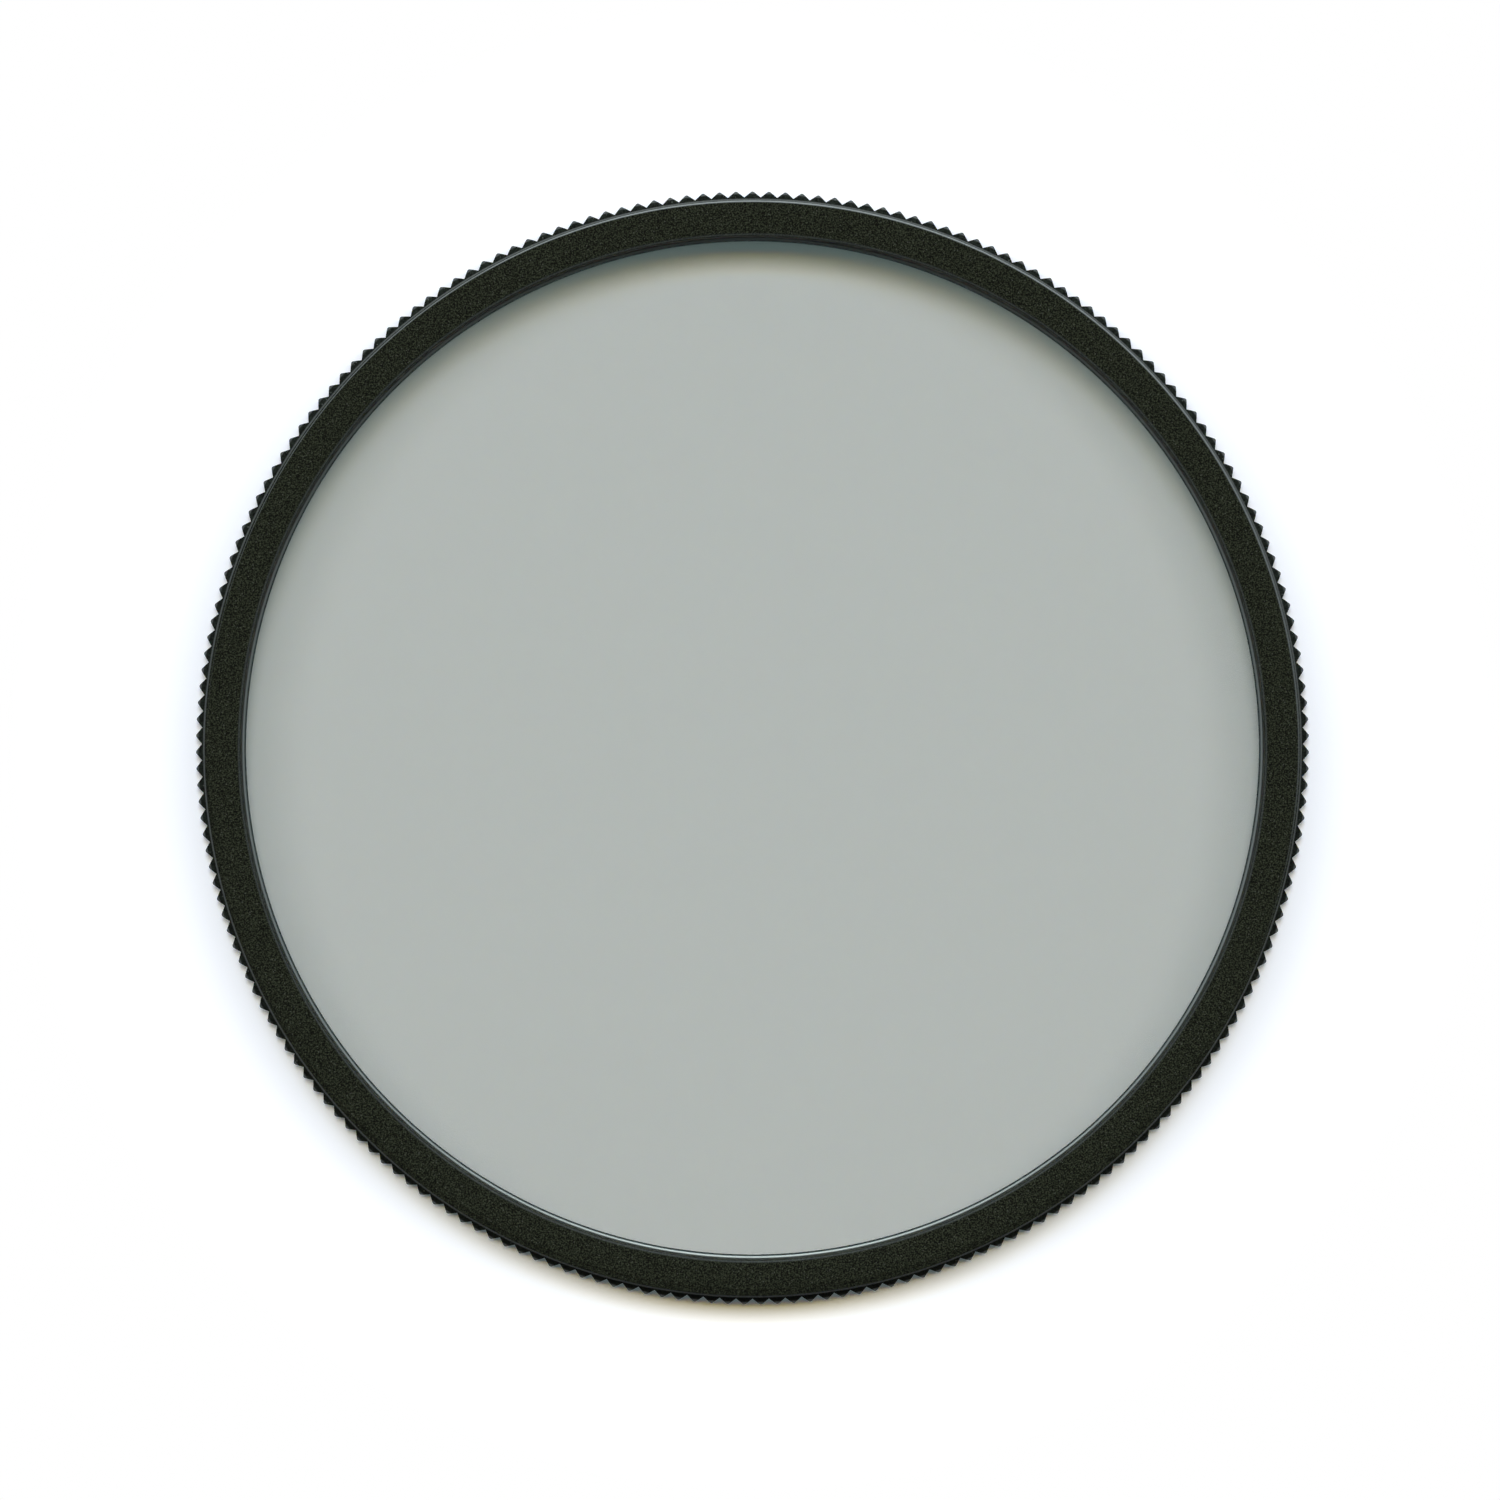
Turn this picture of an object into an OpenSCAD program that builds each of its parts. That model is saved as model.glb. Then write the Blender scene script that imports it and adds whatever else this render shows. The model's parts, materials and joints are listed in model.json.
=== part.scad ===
// Rotating circular polarizing filter, lying front face down with its lens thread up.
// Every ring is turned about the Z axis, and the front rim stands on the plane z = 0.

/* [Lens thread] */
// Major diameter of the lens thread, also of the front thread
thread_d = 77; // [60:1:95]
// Pitch of both threads
thread_pitch = 0.75; // [0.5:0.05:1]
// Height of the lens thread above its seat
thread_len = 2.6; // [2:0.1:4]
// Height of the relief groove at the foot of the lens thread
relief_w = 0.65; // [0.4:0.05:0.9]
// Rise of the groove's sloping floor towards the thread
relief_rise = 0.12; // [0.05:0.01:0.15]
// Wall between the bore and the crest of the lens thread
tube_wall = 2.5; // [2:0.1:3.5]
// Chamfer at the crest end of the lens thread
thread_chamfer = 0.12; // [0.08:0.01:0.4]
// Chamfer at the mouth of the bore
bore_chamfer = 0.18; // [0.05:0.01:0.4]

/* [Mount ring] */
// How far the seat stands out past the lens thread
seat_step = 0.26; // [0.22:0.01:0.8]
// Chamfer at the seat's outer edge
seat_chamfer = 0.16; // [0.05:0.01:0.18]
// Wall between the seat and the roof over the hub
web_t = 0.2; // [0.15:0.01:1]
// Wall of the skirt round the hub
skirt_wall = 1.35; // [1.1:0.01:1.6]
// Broken edges of the skirt and of the hub
edge_chamfer = 0.08; // [0.03:0.01:0.12]

/* [Rotating ring] */
// Depth of the front thread's recess
front_depth = 1.45; // [1.2:0.05:2.5]
// Wall behind the recess, up to the grip's rear face
plate_t = 0.6; // [0.4:0.05:1]
// How far the knurl's roots stand out past the seat
grip_step = 0.21; // [0.15:0.01:0.6]
// Number of teeth in the knurl
knurl_teeth = 211; // [160:1:240]
// Depth of a tooth
knurl_depth = 0.43; // [0.2:0.01:0.6]
// Width of the flat at a tooth's tip
knurl_flat = 0.12; // [0.04:0.01:0.3]
// Chamfer on both rims of the knurl
knurl_chamfer = 0.22; // [0.05:0.01:0.4]
// Wall of the hub round the glass
hub_wall = 0.65; // [0.5:0.01:0.8]
// How far the seat lip reaches in past the bore
lip_show = 0.2; // [0.1:0.05:1]
// Bevel round the lip's edge, on the lens side
lip_bevel = 0.18; // [0.05:0.01:0.2]
// Thickness of the seat lip
lip_t = 0.4; // [0.3:0.05:0.5]

/* [Glass pack] */
// Thickness of the front glass
front_glass_t = 0.9; // [0.7:0.05:1]
// Thickness of the polarizing film
polarizer_t = 0.12; // [0.05:0.01:0.15]
// Thickness of the quarter-wave film
wave_plate_t = 0.1; // [0.05:0.01:0.15]
// Thickness of the rear glass
rear_glass_t = 0.9; // [0.7:0.05:0.95]
// Ground bevel at the edges of both glasses
glass_bevel = 0.15; // [0.05:0.01:0.25]
// Layer of cement between the discs
cement_t = 0.02; // [0.01:0.01:0.05]

/* [Retaining ring] */
// Height of the retaining ring
retainer_h = 0.8; // [0.6:0.05:0.85]
// Width of its face, from the bore to the thread
retainer_w = 1.05; // [0.8:0.05:1.6]
// Bevel at the front of its bore
retainer_bevel = 0.2; // [0.1:0.05:0.5]
// How far its thread stands out past the glass pocket
retainer_step = 0.25; // [0.15:0.01:0.3]
// Number of spanner slots
slot_count = 4; // [2:1:6]
// Width of a spanner slot
slot_w = 1.2; // [0.8:0.1:2]
// Depth of a spanner slot
slot_depth = 0.4; // [0.2:0.05:0.5]

/* [Snap wire] */
// Diameter of the spring wire
wire_d = 0.5; // [0.3:0.05:0.6]
// Height of the wire above the skirt's lower edge
wire_rise = 1; // [0.8:0.05:1.2]
// Gap between the wire's ends, in degrees
wire_gap_angle = 9; // [4:1:40]

/* [Clearances] */
// Radial running clearance between the hub and the skirt
run_gap = 0.06; // [0.03:0.01:0.09]
// Gap between the thread's crests and the flat of the seat
crest_gap = 0.02; // [0.01:0.01:0.04]
// Gap between the grip and the skirt's lower edge
ring_gap = 0.15; // [0.08:0.01:0.3]
// Gap between the hub's top and the roof of the skirt
roof_gap = 0.08; // [0.05:0.01:0.1]
// Clearance of the wire in its grooves
groove_gap = 0.05; // [0.03:0.01:0.08]
// Clearance round the glass, the films and the retaining ring
pack_gap = 0.04; // [0.02:0.01:0.08]

/* [Hidden] */
$fn = 180;

anodised = [0.12, 0.13, 0.115];
clear_glass = [0.72, 0.77, 0.74, 0.4];

// A metric thread is 0.6134 of its pitch deep on a screw, and 0.5413 in a hole
screw_thread_share = 0.6134;
hole_thread_share = 0.5413;

// Radii, from the lens thread inwards
thread_r = thread_d / 2;
relief_r = thread_r - screw_thread_share * thread_pitch;
bore_r = thread_r - tube_wall;
front_r = thread_r - hole_thread_share * thread_pitch;
seat_r = thread_r + seat_step;
root_r = seat_r + grip_step;
tip_r = root_r + knurl_depth;
skirt_bore_r = seat_r - skirt_wall;
hub_r = skirt_bore_r - run_gap;
pocket_r = hub_r - hub_wall;
glass_r = pocket_r - pack_gap;
lip_r = bore_r - lip_show;
retainer_pocket_r = pocket_r + retainer_step;
retainer_r = retainer_pocket_r - pack_gap;

// Heights, from the front rim upwards
grip_h = front_depth + plate_t;
skirt_z = grip_h + ring_gap;
pack_z = front_depth + retainer_h;
polarizer_z = pack_z + front_glass_t + cement_t;
wave_plate_z = polarizer_z + polarizer_t + cement_t;
rear_glass_z = wave_plate_z + wave_plate_t + cement_t;
lip_z = rear_glass_z + rear_glass_t;
hub_z = lip_z + lip_t;
roof_z = hub_z + roof_gap;
seat_z = roof_z + web_t;
top_z = seat_z + thread_len;

// The wire runs half in the hub and half in the skirt
wire_z = skirt_z + wire_rise;
wire_r = (hub_r + skirt_bore_r) / 2;
groove_reach = wire_d / 2 + groove_gap;

// Turns a half section, given as [radius, height] points, about the Z axis
module turned(section) {
    rotate_extrude() polygon(section);
}

// The square groove that holds the wire, cut in the hub and in the skirt
module wire_groove() {
    turned([
        [wire_r - groove_reach, wire_z - groove_reach],
        [wire_r + groove_reach, wire_z - groove_reach],
        [wire_r + groove_reach, wire_z + groove_reach],
        [wire_r - groove_reach, wire_z + groove_reach]
    ]);
}

// Lens thread, seat and skirt in one piece
module mount_ring() {
    color(anodised) difference() {
        turned([
            [bore_r, roof_z],
            [skirt_bore_r, roof_z],
            [skirt_bore_r, skirt_z + edge_chamfer],
            [skirt_bore_r + edge_chamfer, skirt_z],
            [seat_r - edge_chamfer, skirt_z],
            [seat_r, skirt_z + edge_chamfer],
            [seat_r, seat_z - seat_chamfer],
            [seat_r - seat_chamfer, seat_z],
            [thread_r + crest_gap, seat_z],
            [relief_r, seat_z + relief_rise],
            [relief_r, seat_z + relief_w - (thread_r - relief_r) / 2],
            [thread_r, seat_z + relief_w],
            [thread_r, top_z - thread_chamfer],
            [thread_r - thread_chamfer, top_z],
            [bore_r + bore_chamfer, top_z],
            [bore_r, top_z - bore_chamfer]
        ]);
        wire_groove();
    }
}

// Open ring of spring wire
module snap_wire() {
    color([0.75, 0.75, 0.73])
    rotate([0, 0, wire_gap_angle / 2])
    rotate_extrude(angle = 360 - wire_gap_angle)
    translate([wire_r, wire_z])
    circle(d = wire_d, $fn = 24);
}

// Outline of the knurl: each tooth rises from a sharp root to a narrow flat
module knurl_outline() {
    pitch_angle = 360 / knurl_teeth;
    half_flat = asin(knurl_flat / 2 / tip_r);
    polygon([
        for (i = [0 : knurl_teeth - 1])
        for (corner = [[root_r, -pitch_angle / 2], [tip_r, -half_flat], [tip_r, half_flat]])
        let (angle = 90 + i * pitch_angle + corner[1])
        corner[0] * [cos(angle), sin(angle)]
    ]);
}

// Knurled grip with the front thread's recess, and the hub that holds the glass
module rotating_ring() {
    color(anodised) difference() {
        union() {
            intersection() {
                linear_extrude(grip_h) knurl_outline();
                turned([
                    [0, 0],
                    [tip_r - knurl_chamfer, 0],
                    [tip_r, knurl_chamfer],
                    [tip_r, grip_h - knurl_chamfer],
                    [tip_r - knurl_chamfer, grip_h],
                    [0, grip_h]
                ]);
            }
            turned([
                [0, front_depth],
                [hub_r, front_depth],
                [hub_r, hub_z - edge_chamfer],
                [hub_r - edge_chamfer, hub_z],
                [0, hub_z]
            ]);
        }
        turned([
            [0, -1],
            [thread_r + 1, -1],
            [front_r, thread_r - front_r],
            [front_r, front_depth],
            [retainer_pocket_r, front_depth],
            [retainer_pocket_r, pack_z],
            [pocket_r, pack_z],
            [pocket_r, lip_z],
            [lip_r, lip_z],
            [lip_r, hub_z - lip_bevel],
            [lip_r + lip_bevel + 1, hub_z + 1],
            [0, hub_z + 1]
        ]);
        wire_groove();
    }
}

// Threaded ring with spanner slots, which clamps the glass pack
module retaining_ring() {
    color(anodised) difference() {
        turned([
            [retainer_r - retainer_w + retainer_bevel, front_depth],
            [retainer_r, front_depth],
            [retainer_r, pack_z],
            [retainer_r - retainer_w, pack_z],
            [retainer_r - retainer_w, front_depth + retainer_bevel]
        ]);
        for (i = [0 : slot_count - 1])
            rotate([0, 0, i * 360 / slot_count])
            translate([retainer_r - 2 * retainer_w, -slot_w / 2, front_depth - slot_depth])
            cube([3 * retainer_w, slot_w, 2 * slot_depth]);
    }
}

// A flat disc with a ground bevel at both edges
module bevelled_disc(r, t, bevel) {
    turned([[0, 0], [r - bevel, 0], [r, bevel], [r, t - bevel], [r - bevel, t], [0, t]]);
}

// Glass on the subject side
module front_glass() {
    color(clear_glass)
    translate([0, 0, pack_z])
    bevelled_disc(glass_r, front_glass_t, glass_bevel);
}

// Linear polarizer
module polarizing_film() {
    color([0.4, 0.43, 0.42])
    translate([0, 0, polarizer_z])
    cylinder(r = glass_r, h = polarizer_t);
}

// Retarder that turns the polarized light circular
module quarter_wave_film() {
    color([0.75, 0.78, 0.74])
    translate([0, 0, wave_plate_z])
    cylinder(r = glass_r, h = wave_plate_t);
}

// Glass on the lens side
module rear_glass() {
    color(clear_glass)
    translate([0, 0, rear_glass_z])
    bevelled_disc(glass_r, rear_glass_t, glass_bevel);
}

mount_ring();
snap_wire();
rotating_ring();
retaining_ring();
front_glass();
polarizing_film();
quarter_wave_film();
rear_glass();
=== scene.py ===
import json
import math

import bmesh
import bpy
from mathutils import Matrix, Vector


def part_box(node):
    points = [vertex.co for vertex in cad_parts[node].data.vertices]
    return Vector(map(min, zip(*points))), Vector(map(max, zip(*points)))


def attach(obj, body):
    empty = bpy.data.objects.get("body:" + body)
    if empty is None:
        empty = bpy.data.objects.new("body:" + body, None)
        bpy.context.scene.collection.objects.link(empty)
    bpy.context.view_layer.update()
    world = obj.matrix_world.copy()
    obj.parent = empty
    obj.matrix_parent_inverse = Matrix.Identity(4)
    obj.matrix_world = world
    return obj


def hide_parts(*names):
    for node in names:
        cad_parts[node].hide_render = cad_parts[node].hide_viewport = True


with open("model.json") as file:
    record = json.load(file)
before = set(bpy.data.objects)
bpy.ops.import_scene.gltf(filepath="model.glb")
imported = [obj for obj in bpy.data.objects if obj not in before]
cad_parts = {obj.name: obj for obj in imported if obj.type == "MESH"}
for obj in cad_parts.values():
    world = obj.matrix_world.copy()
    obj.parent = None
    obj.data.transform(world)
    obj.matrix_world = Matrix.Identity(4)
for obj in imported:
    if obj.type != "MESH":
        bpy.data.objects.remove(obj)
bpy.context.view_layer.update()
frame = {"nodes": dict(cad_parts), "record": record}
scene = bpy.context.scene
print("frame loaded:", ", ".join(sorted(frame["nodes"])))

mm = 0.001  # meshes are shaped in millimetres, and scaled to metres when they are done
fullTurn = 2 * math.pi


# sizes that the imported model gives, in millimetres
def lowest(node):
    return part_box(node)[0] / mm


def highest(node):
    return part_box(node)[1] / mm


def mountPlace(name):
    return next(m for m in frame["record"]["mounts"] if m["name"] == name)


# sizes that more than one ring shares, in millimetres
fits = {
    "steps": 422,  # steps of a full turn, two for each tooth of the knurl
    "threadR": mountPlace("lens_thread")["dims"]["r_mm"],
    "pitch": 0.75,
    "skirtBoreR": 37.41,
    "hubR": 37.35,
    "wireR": 37.38,
    "wireZ": 3.2,
    "grooveReach": 0.3,
    "brokenEdge": 0.08,
    "edgeRadius": 0.015,  # radius left on every turned corner
    "edgeSegments": 2,
    "softSegments": 4,  # for the corners that are rounded more widely
    "weldReach": 1e-4,
    "flankSlope": math.tan(math.radians(30)),  # half of the thread's 60 degrees
}


def polar(radius, angle, height=0.0):
    return Vector((radius * math.cos(angle), radius * math.sin(angle), height))


def roundCorners(bm, corners, reach, segments):
    bmesh.ops.bevel(
        bm, geom=corners, offset=reach, offset_type="OFFSET", segments=segments,
        profile=0.5, affect="VERTICES", clamp_overlap=True, material=-1,
    )


def sectionOutline(bm, points, closed, keepSharp=(), soft=None):
    # a half section in the plane x = 0; soft gives the corners it numbers a wider rounding
    soft = soft or {}
    corners = [bm.verts.new((0, radius, height)) for radius, height in points]
    bm.faces.new(corners)
    rounded = [v for i, v in enumerate(corners) if i not in keepSharp and i not in soft]
    ends = bm.edges.get((corners[0], corners[-1]))
    if rounded:
        roundCorners(bm, rounded, fits["edgeRadius"], fits["edgeSegments"])
    for i, reach in soft.items():
        roundCorners(bm, [corners[i]], reach, fits["softSegments"])
    if closed:
        bmesh.ops.delete(bm, geom=bm.faces[:], context="FACES_ONLY")
    else:
        bmesh.ops.delete(bm, geom=[ends], context="EDGES")
    return bm.verts[:] + bm.edges[:]


def turned(points, closed=True, keepSharp=(), steps=fits["steps"], soft=None):
    bm = bmesh.new()
    outline = sectionOutline(bm, points, closed, keepSharp, soft)
    bmesh.ops.spin(
        bm, geom=outline, cent=(0, 0, 0), axis=(0, 0, 1), dvec=(0, 0, 0), angle=fullTurn,
        steps=steps, use_merge=True, use_normal_flip=False, use_duplicate=False,
    )
    bmesh.ops.remove_doubles(bm, verts=bm.verts[:], dist=fits["weldReach"])
    return bm


def helixCutter(profile, startZ, turns):
    # a thread's groove as a closed coil, which climbs one pitch a turn, right-handed; it
    # starts on the near side, so that the crest on the far side is whole at the end face
    bm = bmesh.new()
    bm.faces.new([bm.verts.new((0, radius, startZ + height)) for radius, height in profile])
    steps = round(turns * fits["steps"])
    bmesh.ops.spin(
        bm, geom=bm.verts[:] + bm.edges[:] + bm.faces[:], cent=(0, 0, 0), axis=(0, 0, 1),
        dvec=(0, 0, fits["pitch"] / fits["steps"]), angle=fullTurn * steps / fits["steps"],
        steps=steps, use_merge=False, use_normal_flip=False, use_duplicate=False,
    )
    bmesh.ops.rotate(
        bm, verts=bm.verts[:], cent=(0, 0, 0), matrix=Matrix.Rotation(math.pi, 3, "Z")
    )
    bmesh.ops.recalc_face_normals(bm, faces=bm.faces[:])
    return bm


def meshObject(name, bm):
    bmesh.ops.recalc_face_normals(bm, faces=bm.faces[:])
    mesh = bpy.data.meshes.new(name)
    bm.to_mesh(mesh)
    bm.free()
    piece = bpy.data.objects.new(name, mesh)
    scene.collection.objects.link(piece)
    return piece


def cutAway(piece, cutterShape):
    cutter = meshObject("cutter", cutterShape)
    cut = piece.modifiers.new("cut", "BOOLEAN")
    cut.operation = "DIFFERENCE"
    cut.solver = "MANIFOLD"
    cut.object = cutter
    whole = piece.data
    piece.data = bpy.data.meshes.new_from_object(
        piece.evaluated_get(bpy.context.evaluated_depsgraph_get())
    )
    piece.modifiers.clear()
    removed = cutter.data
    bpy.data.objects.remove(cutter)
    bpy.data.meshes.remove(removed)
    bpy.data.meshes.remove(whole)


def finishPiece(piece, material, node, sharpAngle=28):
    piece.data.transform(Matrix.Scale(mm, 4))
    piece.data.materials.clear()
    piece.data.materials.append(material)
    piece.data.shade_smooth()
    piece.data.set_sharp_from_angle(angle=math.radians(sharpAngle))
    body = next(b for b, nodes in frame["record"]["behaviour"]["bodies"].items() if node in nodes)
    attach(piece, body)
    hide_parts(node)
    print(f"{piece.name}: {len(piece.data.polygons)} faces, rides {body}")


# small tools for node trees
def addNode(tree, kind, values=None, **settings):
    made = tree.nodes.new(kind)
    for name, value in settings.items():
        setattr(made, name, value)
    for socket, value in (values or {}).items():
        made.inputs[socket].default_value = value
    return made


def link(tree, source, target):
    tree.links.new(source, target)


def newGroup(name, inputs, outputs):
    group = bpy.data.node_groups.new(name, "ShaderNodeTree")
    for label, kind, default in inputs:
        socket = group.interface.new_socket(name=label, in_out="INPUT", socket_type=kind)
        if default is not None:
            socket.default_value = default
    for label, kind in outputs:
        group.interface.new_socket(name=label, in_out="OUTPUT", socket_type=kind)
    start = group.nodes.new("NodeGroupInput")
    end = group.nodes.new("NodeGroupOutput")
    return group, start, end


def placeGroup(tree, group, values=None):
    made = tree.nodes.new("ShaderNodeGroup")
    made.node_tree = group
    for socket, value in (values or {}).items():
        made.inputs[socket].default_value = value
    return made


vectorKind, floatKind, colorKind = "NodeSocketVector", "NodeSocketFloat", "NodeSocketColor"


grainShape = {
    "detail": 2.0,
    "roughness": 0.6,
    "swing": 4.0,  # the noise keeps to about a quarter on either side of its middle
    "darkest": 0.15,  # share of the base colour that the darkest grain keeps
    "speckEdge": (0.5, 0.15),  # a speck fades in between these distances from its middle
}
dustLook = {"cell": 0.0022, "size": 0.03, "color": (0.3, 0.29, 0.26, 1)}


def makeGrainAndSparkle():
    # the fine grain of a blasted and anodised surface, with bright specks that are a painted
    # sparkle
    group, start, end = newGroup(
        "blastedGrainAndSparkle",
        [
            ("Vector", vectorKind, None),
            ("Base", colorKind, (0.015, 0.018, 0.013, 1)),
            ("Speck", colorKind, (0.08, 0.085, 0.075, 1)),
            ("Grain Size", floatKind, 0.00014),
            ("Contrast", floatKind, 0.4),
            ("Speck Share", floatKind, 0.06),
        ],
        [("Color", colorKind), ("Height", floatKind), ("Speck", floatKind)],
    )
    scale = addNode(group, "ShaderNodeMath", {0: 1.0}, operation="DIVIDE")
    link(group, start.outputs["Grain Size"], scale.inputs[1])
    noise = addNode(group, "ShaderNodeTexNoise", {
        "Detail": grainShape["detail"], "Roughness": grainShape["roughness"],
    })
    link(group, start.outputs["Vector"], noise.inputs["Vector"])
    link(group, scale.outputs[0], noise.inputs["Scale"])
    centred = addNode(group, "ShaderNodeMath", {1: 0.5}, operation="SUBTRACT")
    link(group, noise.outputs[0], centred.inputs[0])
    wide = addNode(group, "ShaderNodeMath", {1: grainShape["swing"]}, operation="MULTIPLY")
    link(group, centred.outputs[0], wide.inputs[0])
    swing = addNode(group, "ShaderNodeMath", {2: 1.0}, operation="MULTIPLY_ADD")
    link(group, wide.outputs[0], swing.inputs[0])
    link(group, start.outputs["Contrast"], swing.inputs[1])
    level = addNode(
        group, "ShaderNodeMath", {1: grainShape["darkest"]}, operation="MAXIMUM"
    )
    link(group, swing.outputs[0], level.inputs[0])
    mottled = addNode(group, "ShaderNodeVectorMath", operation="SCALE")
    link(group, start.outputs["Base"], mottled.inputs[0])
    link(group, level.outputs[0], mottled.inputs["Scale"])
    # bright specks: the painted sparkle of glints on the grain
    cells = addNode(group, "ShaderNodeTexVoronoi", feature="F1")
    link(group, start.outputs["Vector"], cells.inputs["Vector"])
    link(group, scale.outputs[0], cells.inputs["Scale"])
    pick = addNode(group, "ShaderNodeSeparateColor")
    link(group, cells.outputs["Color"], pick.inputs[0])
    chosen = addNode(group, "ShaderNodeMath", operation="LESS_THAN")
    link(group, pick.outputs[0], chosen.inputs[0])
    link(group, start.outputs["Speck Share"], chosen.inputs[1])
    outer, inner = grainShape["speckEdge"]
    dot = addNode(
        group, "ShaderNodeMapRange",
        {"From Min": outer, "From Max": inner, "To Min": 0.0, "To Max": 1.0},
    )
    link(group, cells.outputs["Distance"], dot.inputs["Value"])
    speck = addNode(group, "ShaderNodeMath", operation="MULTIPLY")
    link(group, chosen.outputs[0], speck.inputs[0])
    link(group, dot.outputs[0], speck.inputs[1])
    mixed = addNode(group, "ShaderNodeMix", data_type="RGBA")
    link(group, speck.outputs[0], mixed.inputs[0])
    link(group, mottled.outputs[0], mixed.inputs[6])
    link(group, start.outputs["Speck"], mixed.inputs[7])
    link(group, mixed.outputs[2], end.inputs["Color"])
    link(group, noise.outputs[0], end.inputs["Height"])
    link(group, speck.outputs[0], end.inputs["Speck"])
    return group


def makeTurningMarks():
    # the rings that a lathe tool leaves: they change with radius and height only
    group, start, end = newGroup(
        "turningMarks",
        [("Vector", vectorKind, None), ("Spacing", floatKind, 0.0001)],
        [("Height", floatKind)],
    )
    parts = addNode(group, "ShaderNodeSeparateXYZ")
    link(group, start.outputs["Vector"], parts.inputs[0])
    flat = addNode(group, "ShaderNodeCombineXYZ")
    link(group, parts.outputs[0], flat.inputs[0])
    link(group, parts.outputs[1], flat.inputs[1])
    radius = addNode(group, "ShaderNodeVectorMath", operation="LENGTH")
    link(group, flat.outputs[0], radius.inputs[0])
    place = addNode(group, "ShaderNodeCombineXYZ")
    link(group, radius.outputs["Value"], place.inputs[0])
    link(group, parts.outputs[2], place.inputs[2])
    scale = addNode(group, "ShaderNodeMath", {0: 1.0}, operation="DIVIDE")
    link(group, start.outputs["Spacing"], scale.inputs[1])
    rings = addNode(group, "ShaderNodeTexNoise", {"Detail": 1.0, "Roughness": 0.5})
    link(group, place.outputs[0], rings.inputs["Vector"])
    link(group, scale.outputs[0], rings.inputs["Scale"])
    link(group, rings.outputs[0], end.inputs["Height"])
    return group


def makeRimBand():
    # 1 on a circle about the axis, fading to 0 within a short reach
    group, start, end = newGroup(
        "rimBand",
        [
            ("Vector", vectorKind, None),
            ("Radius", floatKind, 0.036),
            ("Height", floatKind, 0.0),
            ("Reach", floatKind, 0.0002),
        ],
        [("Mask", floatKind)],
    )
    parts = addNode(group, "ShaderNodeSeparateXYZ")
    link(group, start.outputs["Vector"], parts.inputs[0])
    flat = addNode(group, "ShaderNodeCombineXYZ")
    link(group, parts.outputs[0], flat.inputs[0])
    link(group, parts.outputs[1], flat.inputs[1])
    radius = addNode(group, "ShaderNodeVectorMath", operation="LENGTH")
    link(group, flat.outputs[0], radius.inputs[0])
    across = addNode(group, "ShaderNodeMath", operation="SUBTRACT")
    link(group, radius.outputs["Value"], across.inputs[0])
    link(group, start.outputs["Radius"], across.inputs[1])
    along = addNode(group, "ShaderNodeMath", operation="SUBTRACT")
    link(group, parts.outputs[2], along.inputs[0])
    link(group, start.outputs["Height"], along.inputs[1])
    offset = addNode(group, "ShaderNodeCombineXYZ")
    link(group, across.outputs[0], offset.inputs[0])
    link(group, along.outputs[0], offset.inputs[1])
    distance = addNode(group, "ShaderNodeVectorMath", operation="LENGTH")
    link(group, offset.outputs[0], distance.inputs[0])
    fade = addNode(
        group, "ShaderNodeMapRange", {"From Min": 0.0, "To Min": 1.0, "To Max": 0.0},
        interpolation_type="SMOOTHSTEP",
    )
    link(group, distance.outputs["Value"], fade.inputs["Value"])
    link(group, start.outputs["Reach"], fade.inputs["From Max"])
    link(group, fade.outputs[0], end.inputs["Mask"])
    return group


def makeLooseDust():
    # a few pale specks of dust
    group, start, end = newGroup(
        "looseDust",
        [
            ("Vector", vectorKind, None),
            ("Cell", floatKind, 0.002),
            ("Size", floatKind, 0.04),
            ("Share", floatKind, 0.1),
        ],
        [("Mask", floatKind)],
    )
    scale = addNode(group, "ShaderNodeMath", {0: 1.0}, operation="DIVIDE")
    link(group, start.outputs["Cell"], scale.inputs[1])
    cells = addNode(group, "ShaderNodeTexVoronoi", feature="F1")
    link(group, start.outputs["Vector"], cells.inputs["Vector"])
    link(group, scale.outputs[0], cells.inputs["Scale"])
    pick = addNode(group, "ShaderNodeSeparateColor")
    link(group, cells.outputs["Color"], pick.inputs[0])
    chosen = addNode(group, "ShaderNodeMath", operation="LESS_THAN")
    link(group, pick.outputs[1], chosen.inputs[0])
    link(group, start.outputs["Share"], chosen.inputs[1])
    near = addNode(group, "ShaderNodeMath", operation="LESS_THAN")
    link(group, cells.outputs["Distance"], near.inputs[0])
    link(group, start.outputs["Size"], near.inputs[1])
    mask = addNode(group, "ShaderNodeMath", operation="MULTIPLY")
    link(group, chosen.outputs[0], mask.inputs[0])
    link(group, near.outputs[0], mask.inputs[1])
    link(group, mask.outputs[0], end.inputs["Mask"])
    return group


blastedGrainAndSparkle = makeGrainAndSparkle()
turningMarks = makeTurningMarks()
rimBand = makeRimBand()
looseDust = makeLooseDust()
print("node groups made")


def newMaterial(name):
    material = bpy.data.materials.new(name)
    material.use_nodes = True
    tree = material.node_tree
    tree.nodes.clear()
    output = tree.nodes.new("ShaderNodeOutputMaterial")
    coordinates = tree.nodes.new("ShaderNodeTexCoord")
    return material, tree, output, coordinates.outputs["Object"]


def mixColors(tree, factor, first, second):
    mixed = addNode(tree, "ShaderNodeMix", data_type="RGBA")
    link(tree, factor, mixed.inputs[0])
    for socket, value in ((mixed.inputs[6], first), (mixed.inputs[7], second)):
        if isinstance(value, bpy.types.NodeSocket):
            link(tree, value, socket)
        else:
            socket.default_value = value
    return mixed.outputs[2]


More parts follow.
